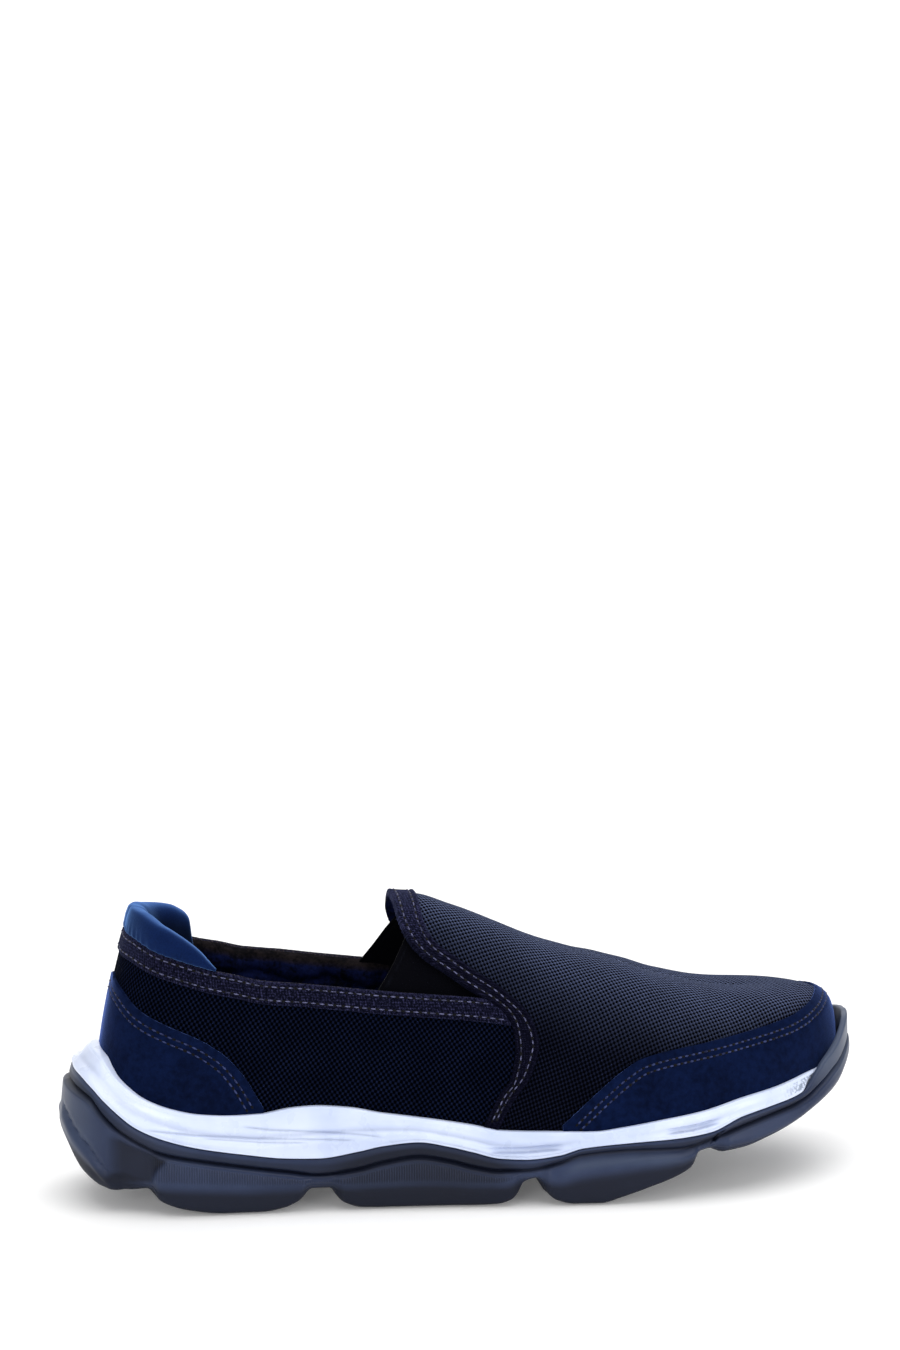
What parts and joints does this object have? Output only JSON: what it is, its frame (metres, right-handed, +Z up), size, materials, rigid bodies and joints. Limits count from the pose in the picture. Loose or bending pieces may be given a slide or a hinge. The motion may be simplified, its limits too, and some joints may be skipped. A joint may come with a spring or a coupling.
{
  "type": "slip-on sneaker",
  "caption": "Low slip-on sneaker for the right foot, with a mesh upper, elastic gores, a stitched throat strip, a padded heel collar and a lobed cushioned sole.",
  "frame": {"origin": "centre of the outline's box, on the floor under the sole", "axes": "+X towards the toe, +Y towards the inner (medial) side, +Z up from the floor"},
  "size_m": [0.29, 0.0981, 0.1065],
  "materials": {
    "outsole": "satin slate-navy moulded rubber",
    "midsole": "glossy cool white paint on foam",
    "insole": "matt navy cloth on foam",
    "mesh": "open navy-black knitted mesh",
    "nubuck": "matt navy nubuck-like synthetic",
    "webbing": "dark navy woven strip, two rows of grey-lavender stitches",
    "collar_pad": "matt mid-blue padded cloth",
    "elastic": "smooth dark elastic"
  },
  "bodies": {
    "root": {"outsole": "outsole", "midsole": "midsole", "insole": "insole", "upper": "mesh", "heel_counter": "nubuck", "toe_guard": "nubuck", "vamp_edging": "webbing", "topline_binding": "webbing", "collar_tab": "collar_pad", "gore_lateral": "elastic", "gore_medial": "elastic"}
  },
  "joints": []
}
